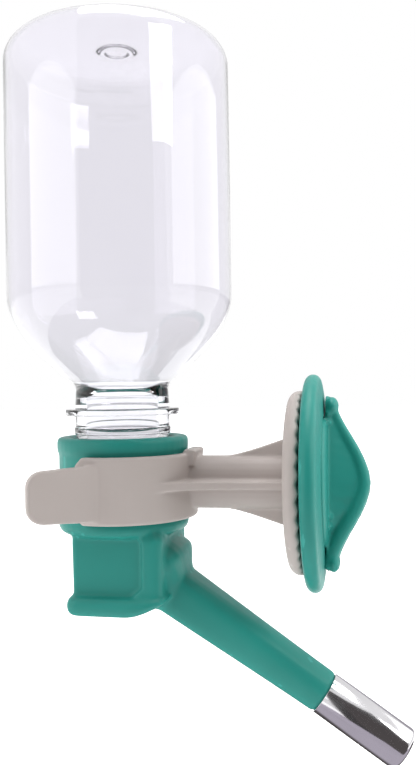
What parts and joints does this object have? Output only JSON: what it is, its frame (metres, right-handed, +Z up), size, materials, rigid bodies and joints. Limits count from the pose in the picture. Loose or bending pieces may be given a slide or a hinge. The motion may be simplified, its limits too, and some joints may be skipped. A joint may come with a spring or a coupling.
{
  "type": "rabbit water bottle",
  "caption": "Upside-down clear bottle screwed into a spout body with a ball-valve nozzle, held by a clip-on holder whose screw clamp grips cage wires.",
  "frame": {"origin": "centre of the holder's clamp face, where the clamp screw's axis meets it; the cage wires lie in this plane", "axes": "+X along the clamp screw, out of the clamp face towards the wing handle and the inside of the cage; +Z up along the bottle; +Y completes the right-handed frame"},
  "size_m": [0.1138, 0.0672, 0.2042],
  "materials": {
    "clear_pet": "clear blown PET with a faint lilac cast",
    "teal_plastic": "moulded plastic, soft gloss",
    "beige_plastic": "moulded plastic, satin",
    "stainless_steel": "polished stainless steel",
    "silicone": "translucent white silicone",
    "spring_steel": "drawn wire",
    "black_rubber": "matte rubber"
  },
  "bodies": {
    "holder": {"holder": "beige_plastic"},
    "pressure_disc": {"pressure_disc": "teal_plastic"},
    "wing_handle": {"wing_handle": "teal_plastic", "handle_snap_ring": "spring_steel"},
    "spout_body": {"spout_body": "teal_plastic", "nozzle_sleeve": "stainless_steel", "nozzle_o_ring": "black_rubber", "valve_spring": "spring_steel"},
    "bottle_gasket": {"bottle_gasket": "silicone"},
    "bottle": {"bottle": "clear_pet"},
    "valve_ball": {"valve_ball": "stainless_steel"}
  },
  "joints": [
    {"name": "disc_slide", "type": "slide", "parent": "holder", "child": "pressure_disc", "axis": [1, 0, 0], "range_m": [0, 0.008]},
    {"name": "handle_turn", "type": "hinge", "parent": "pressure_disc", "child": "wing_handle", "pos_m": [0, 0, 0], "axis": [1, 0, 0], "range_deg": [0, 1308]},
    {"name": "spout_swivel", "type": "hinge", "parent": "holder", "child": "spout_body", "pos_m": [-0.053, 0, 0], "axis": [0, 0, 1], "continuous": true},
    {"name": "gasket_turn", "type": "hinge", "parent": "spout_body", "child": "bottle_gasket", "pos_m": [-0.053, 0, 0], "axis": [0, 0, 1], "range_deg": [0, 1080]},
    {"name": "bottle_slide", "type": "slide", "parent": "bottle_gasket", "child": "bottle", "axis": [0, 0, 1], "range_m": [0, 0.0096]},
    {"name": "valve_press", "type": "slide", "parent": "spout_body", "child": "valve_ball", "axis": [-0.8281, 0, 0.5606], "range_m": [0, 0.0012], "stiffness_N_per_m": 150, "springref_m": -0.005, "deforming": ["valve_spring"]}
  ],
  "couplings": [
    {"joint": "disc_slide", "follows": "handle_turn", "m_per_rad": 0.00035014},
    {"joint": "bottle_slide", "follows": "gasket_turn", "m_per_rad": 0.00050611}
  ]
}
